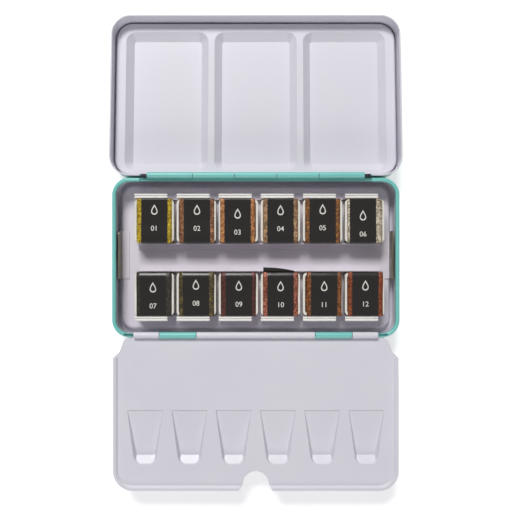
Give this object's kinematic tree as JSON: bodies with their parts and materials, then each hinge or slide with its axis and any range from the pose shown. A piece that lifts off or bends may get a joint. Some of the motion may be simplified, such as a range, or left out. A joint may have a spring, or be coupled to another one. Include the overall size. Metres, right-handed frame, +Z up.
{
  "type": "watercolour paint set",
  "caption": "Pocket metal watercolour tin lying open: half pans of metallic paint in a lift-out tray, lid with mixing wells, fold-out palette flap.",
  "frame": {"origin": "centre of the base's underside, on the table", "axes": "+X along the hinges to the right, +Y towards the lid, +Z up"},
  "size_m": [0.119, 0.1946, 0.0153],
  "materials": {
    "teal_enamel": "gloss enamel",
    "white_enamel": "gloss enamel",
    "bare_tinplate": "bare tinplate",
    "hinge_wire": "dark steel wire",
    "pan_plastic": "moulded plastic",
    "black_paper": "printed paper, matt",
    "paint_01": "dry watercolour with fine metallic pigment, yellow gold",
    "paint_02": "dry watercolour with fine metallic pigment, brown gold",
    "paint_03": "dry watercolour with fine metallic pigment, copper gold",
    "paint_04": "dry watercolour with fine metallic pigment, sand",
    "paint_05": "dry watercolour with fine metallic pigment, deep gold",
    "paint_06": "dry watercolour with fine metallic pigment, white gold",
    "paint_07": "dry watercolour with fine metallic pigment, steel grey",
    "paint_08": "dry watercolour with fine metallic pigment, olive",
    "paint_09": "dry watercolour with fine metallic pigment, coffee",
    "paint_10": "dry watercolour with fine metallic pigment, copper pink",
    "paint_11": "dry watercolour with fine metallic pigment, bronze",
    "paint_12": "dry watercolour with fine metallic pigment, satin bronze"
  },
  "bodies": {
    "base": {"base_shell": "teal_enamel", "lid_hinge_pin": "hinge_wire", "flap_hinge_pin": "hinge_wire"},
    "lid": {"lid_shell": "teal_enamel", "lid_palette": "white_enamel"},
    "flap": {"palette_flap": "white_enamel"},
    "tray": {"tray_plate": "white_enamel", "lifting_tab_left": "bare_tinplate", "lifting_tab_right": "bare_tinplate", "finger_rail_back": "white_enamel", "finger_rail_front": "white_enamel", "inner_rail_back": "white_enamel", "inner_rail_front": "white_enamel"},
    "pan_01": {"half_pan_01": "pan_plastic", "paint_01": "paint_01", "wrapper_01": "black_paper"},
    "pan_02": {"half_pan_02": "pan_plastic", "paint_02": "paint_02", "wrapper_02": "black_paper"},
    "pan_03": {"half_pan_03": "pan_plastic", "paint_03": "paint_03", "wrapper_03": "black_paper"},
    "pan_04": {"half_pan_04": "pan_plastic", "paint_04": "paint_04", "wrapper_04": "black_paper"},
    "pan_05": {"half_pan_05": "pan_plastic", "paint_05": "paint_05", "wrapper_05": "black_paper"},
    "pan_06": {"half_pan_06": "pan_plastic", "paint_06": "paint_06", "wrapper_06": "black_paper"},
    "pan_07": {"half_pan_07": "pan_plastic", "paint_07": "paint_07", "wrapper_07": "black_paper"},
    "pan_08": {"half_pan_08": "pan_plastic", "paint_08": "paint_08", "wrapper_08": "black_paper"},
    "pan_09": {"half_pan_09": "pan_plastic", "paint_09": "paint_09", "wrapper_09": "black_paper"},
    "pan_10": {"half_pan_10": "pan_plastic", "paint_10": "paint_10", "wrapper_10": "black_paper"},
    "pan_11": {"half_pan_11": "pan_plastic", "paint_11": "paint_11", "wrapper_11": "black_paper"},
    "pan_12": {"half_pan_12": "pan_plastic", "paint_12": "paint_12", "wrapper_12": "black_paper"}
  },
  "joints": [
    {"name": "lid_hinge", "type": "hinge", "parent": "base", "child": "lid", "pos_m": [0, 0.0333, 0.014], "axis": [1, 0, 0], "range_deg": [0, 184.4]},
    {"name": "flap_hinge", "type": "hinge", "parent": "base", "child": "flap", "pos_m": [0, -0.0315, 0.014], "axis": [-1, 0, 0], "range_deg": [0, 180]},
    {"name": "tray_lift", "type": "slide", "parent": "base", "child": "tray", "axis": [0, 0, -1], "range_m": [-0.03, 0]},
    {"name": "pan_lift_01", "type": "slide", "parent": "tray", "child": "pan_01", "axis": [0, 0, -1], "range_m": [-0.02, 0]},
    {"name": "pan_lift_02", "type": "slide", "parent": "tray", "child": "pan_02", "axis": [0, 0, -1], "range_m": [-0.02, 0]},
    {"name": "pan_lift_03", "type": "slide", "parent": "tray", "child": "pan_03", "axis": [0, 0, -1], "range_m": [-0.02, 0]},
    {"name": "pan_lift_04", "type": "slide", "parent": "tray", "child": "pan_04", "axis": [0, 0, -1], "range_m": [-0.02, 0]},
    {"name": "pan_lift_05", "type": "slide", "parent": "tray", "child": "pan_05", "axis": [0, 0, -1], "range_m": [-0.02, 0]},
    {"name": "pan_lift_06", "type": "slide", "parent": "tray", "child": "pan_06", "axis": [0, 0, -1], "range_m": [-0.02, 0]},
    {"name": "pan_lift_07", "type": "slide", "parent": "tray", "child": "pan_07", "axis": [0, 0, -1], "range_m": [-0.02, 0]},
    {"name": "pan_lift_08", "type": "slide", "parent": "tray", "child": "pan_08", "axis": [0, 0, -1], "range_m": [-0.02, 0]},
    {"name": "pan_lift_09", "type": "slide", "parent": "tray", "child": "pan_09", "axis": [0, 0, -1], "range_m": [-0.02, 0]},
    {"name": "pan_lift_10", "type": "slide", "parent": "tray", "child": "pan_10", "axis": [0, 0, -1], "range_m": [-0.02, 0]},
    {"name": "pan_lift_11", "type": "slide", "parent": "tray", "child": "pan_11", "axis": [0, 0, -1], "range_m": [-0.02, 0]},
    {"name": "pan_lift_12", "type": "slide", "parent": "tray", "child": "pan_12", "axis": [0, 0, -1], "range_m": [-0.02, 0]}
  ]
}
